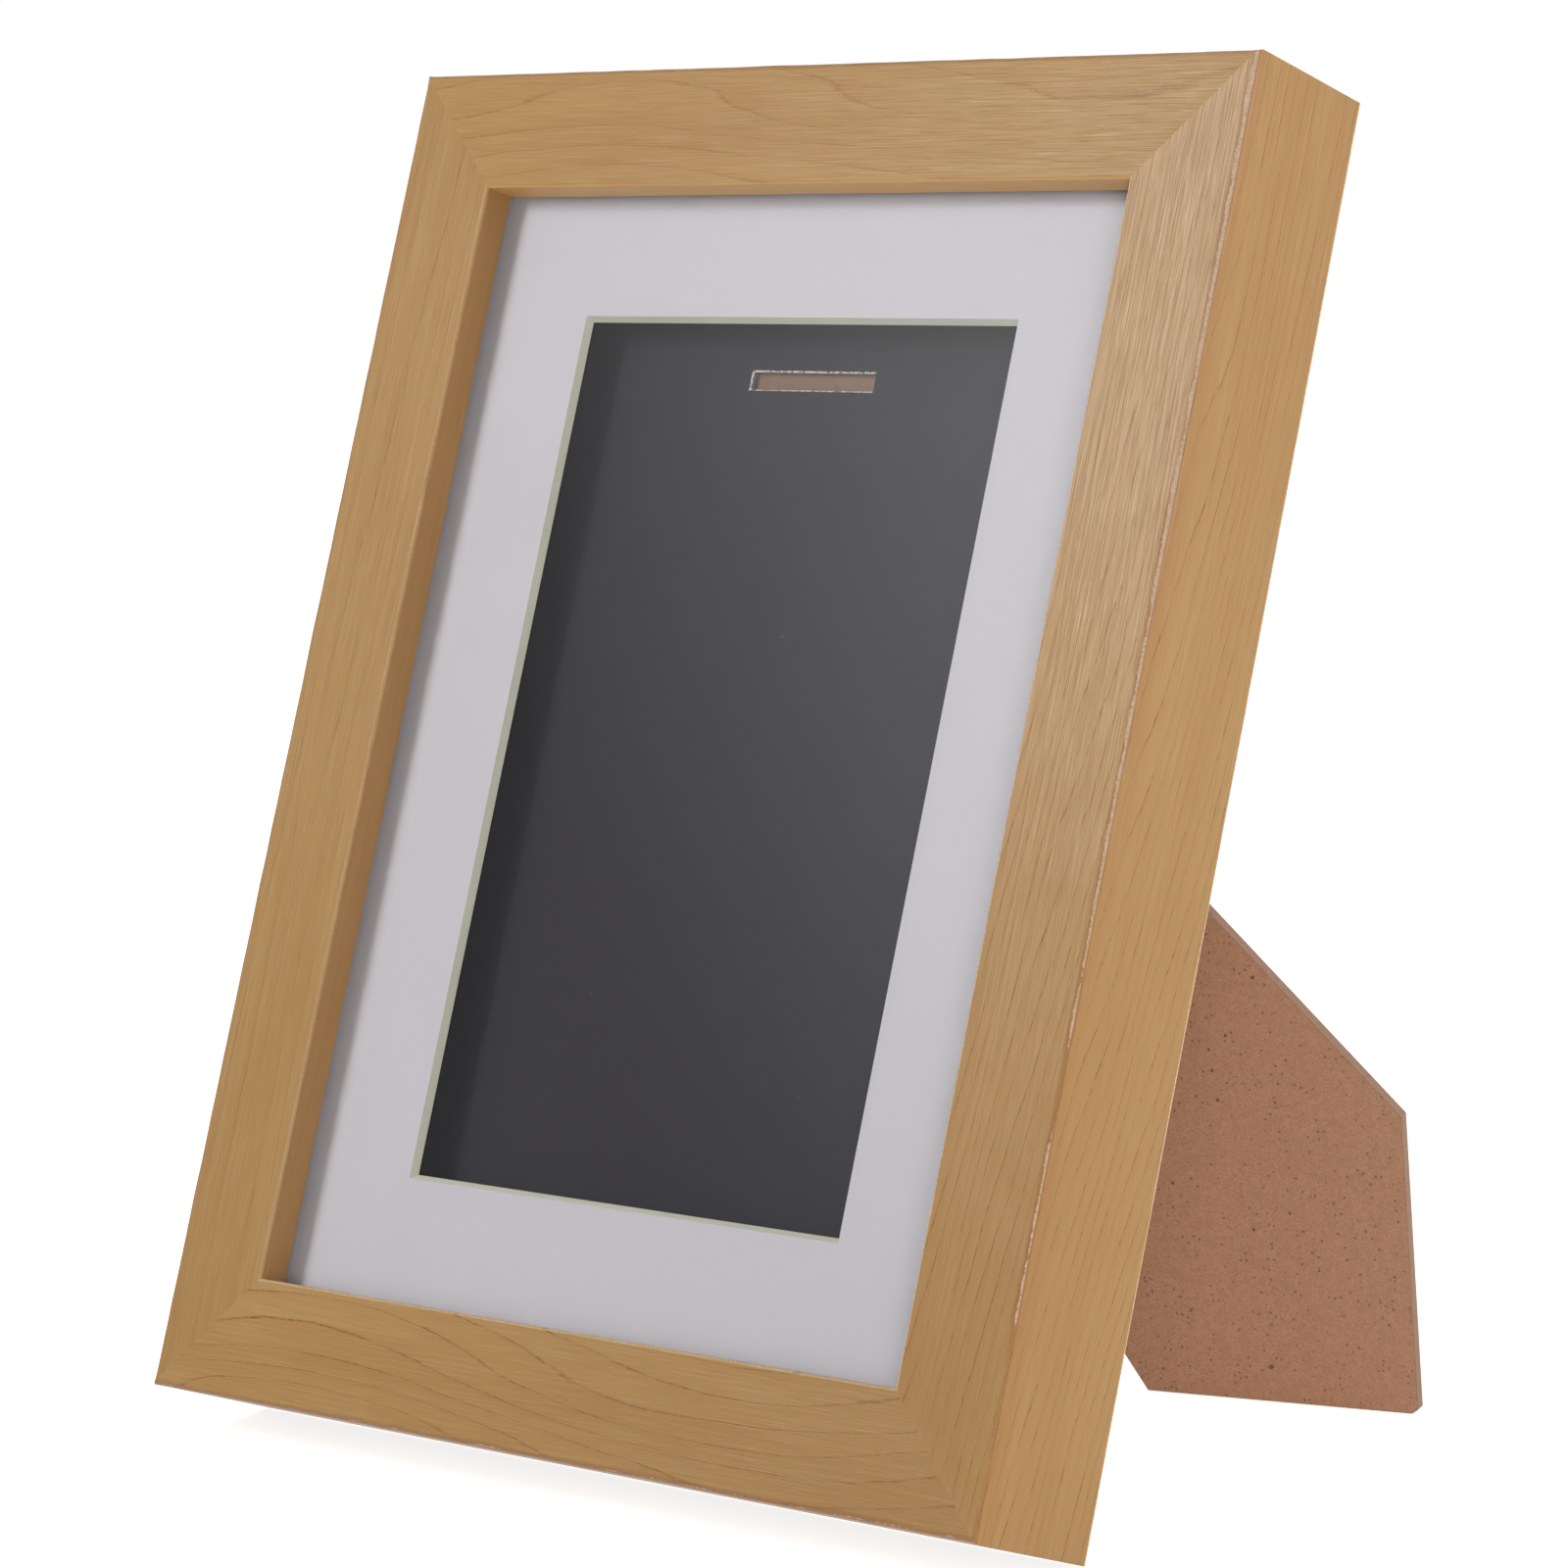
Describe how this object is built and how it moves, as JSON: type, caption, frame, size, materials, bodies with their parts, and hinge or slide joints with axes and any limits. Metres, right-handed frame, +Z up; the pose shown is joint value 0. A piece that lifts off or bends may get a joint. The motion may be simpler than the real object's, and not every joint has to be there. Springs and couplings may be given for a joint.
{
  "type": "medal display frame",
  "caption": "Mitred wooden display frame with a glazed mat window over a slotted dark card, leaning on a hinged hardboard strut.",
  "frame": {"origin": "middle of the footprint on the table, midway across the frame and midway from its front to the strut's foot", "axes": "+X to the right seen from the front, +Y towards the back, +Z up; the frame leans back 17.4 degrees on its strut"},
  "size_m": [0.184, 0.153, 0.2322],
  "materials": {
    "wood": "clear satin over pale straight-grained wood",
    "glass": "clear polished",
    "mat_board": "matt pale mat with a cream core",
    "dark_card": "matt dark grey card",
    "foam_board": "matt white",
    "hardboard": "smooth-faced brown hardboard",
    "steel": "zinc plated",
    "brassed_steel": "brass-plated steel"
  },
  "bodies": {
    "display_frame": {"rail_bottom": "wood", "stile_right": "wood", "rail_top": "wood", "stile_left": "wood", "corner_nail_bottom_left": "steel", "corner_nail_bottom_right": "steel", "corner_nail_top_right": "steel", "corner_nail_top_left": "steel", "rail_bottom_tab_1": "steel", "rail_bottom_tab_2": "steel", "stile_right_tab_1": "steel", "stile_right_tab_2": "steel", "rail_top_tab_1": "steel", "rail_top_tab_2": "steel", "stile_left_tab_1": "steel", "stile_left_tab_2": "steel", "glazing": "glass", "window_mat": "mat_board", "spacer_left": "foam_board", "spacer_right": "foam_board", "spacer_bottom": "foam_board", "spacer_top": "foam_board", "slotted_card": "dark_card", "backing_board": "hardboard", "hinge_fixed_leaf": "steel", "hinge_pin": "steel", "board_rivet_left": "steel", "board_rivet_right": "steel", "hanger_upright": "brassed_steel", "hanger_upright_nail_1": "brassed_steel", "hanger_upright_nail_2": "brassed_steel", "hanger_sideways": "brassed_steel", "hanger_sideways_nail_1": "brassed_steel", "hanger_sideways_nail_2": "brassed_steel"},
    "strut_swing": {"strut": "hardboard", "hinge_moving_leaf": "steel", "strut_rivet_left": "steel", "strut_rivet_right": "steel"}
  },
  "joints": [
    {"name": "strut_hinge", "type": "hinge", "parent": "display_frame", "child": "strut_swing", "pos_m": [-0.057, -0.00079, 0.18009], "axis": [-0.8721, -0.1463, -0.467], "range_deg": [0, 30.9]}
  ]
}
